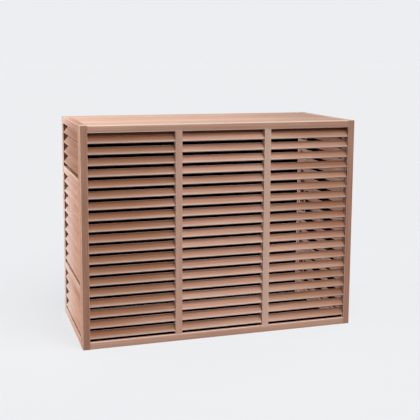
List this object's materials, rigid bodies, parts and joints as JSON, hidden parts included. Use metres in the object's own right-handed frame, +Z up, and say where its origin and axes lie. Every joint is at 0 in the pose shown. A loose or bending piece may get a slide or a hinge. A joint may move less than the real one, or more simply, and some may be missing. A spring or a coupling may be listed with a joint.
{
  "type": "air conditioner screen",
  "caption": "Louvred timber box that hides an outdoor air conditioner: framed front and sides with sloping blades, boarded flat lid, open back and base.",
  "frame": {"origin": "middle of the footprint, on the ground", "axes": "+X along the length, to the right seen from the front; +Y from the louvred front to the open back; +Z up"},
  "size_m": [1.7, 0.75, 1.3],
  "materials": {
    "frame_timber": "planed pinkish-brown softwood, satin",
    "blade_timber": "planed pinkish-brown softwood, satin",
    "lid_timber": "planed pinkish-brown softwood, satin",
    "inner_timber": "sawn pinkish-brown softwood",
    "screw_steel": "plain steel"
  },
  "bodies": {
    "root": {"front_bottom_rail": "frame_timber", "front_ledger": "inner_timber", "front_ledger_screw_1": "screw_steel", "front_ledger_screw_2": "screw_steel", "front_left_louvres": "blade_timber", "front_left_mullion": "frame_timber", "front_left_stile": "frame_timber", "front_middle_louvres": "blade_timber", "front_right_louvres": "blade_timber", "front_right_mullion": "frame_timber", "front_right_stile": "frame_timber", "front_top_rail": "frame_timber", "left_bottom_rail": "frame_timber", "left_corner_screw_1": "screw_steel", "left_corner_screw_2": "screw_steel", "left_corner_screw_3": "screw_steel", "left_front_stile": "frame_timber", "left_ledger": "inner_timber", "left_ledger_screw_1": "screw_steel", "left_ledger_screw_2": "screw_steel", "left_lid_screw_1": "screw_steel", "left_lid_screw_2": "screw_steel", "left_lower_louvres": "blade_timber", "left_lower_rail": "frame_timber", "left_middle_louvres": "blade_timber", "left_rear_stile": "frame_timber", "left_top_rail": "frame_timber", "left_upper_louvres": "blade_timber", "left_upper_rail": "frame_timber", "lid_board_1": "lid_timber", "lid_board_2": "lid_timber", "lid_board_3": "lid_timber", "lid_board_4": "lid_timber", "lid_board_5": "lid_timber", "lid_left_batten": "inner_timber", "lid_middle_batten": "inner_timber", "lid_right_batten": "inner_timber", "rear_ledger": "inner_timber", "rear_ledger_screw_1": "screw_steel", "rear_ledger_screw_2": "screw_steel", "rear_top_rail": "frame_timber", "right_bottom_rail": "frame_timber", "right_corner_screw_1": "screw_steel", "right_corner_screw_2": "screw_steel", "right_corner_screw_3": "screw_steel", "right_front_stile": "frame_timber", "right_ledger": "inner_timber", "right_ledger_screw_1": "screw_steel", "right_ledger_screw_2": "screw_steel", "right_lid_screw_1": "screw_steel", "right_lid_screw_2": "screw_steel", "right_lower_louvres": "blade_timber", "right_lower_rail": "frame_timber", "right_middle_louvres": "blade_timber", "right_rear_stile": "frame_timber", "right_top_rail": "frame_timber", "right_upper_louvres": "blade_timber", "right_upper_rail": "frame_timber"}
  },
  "joints": []
}
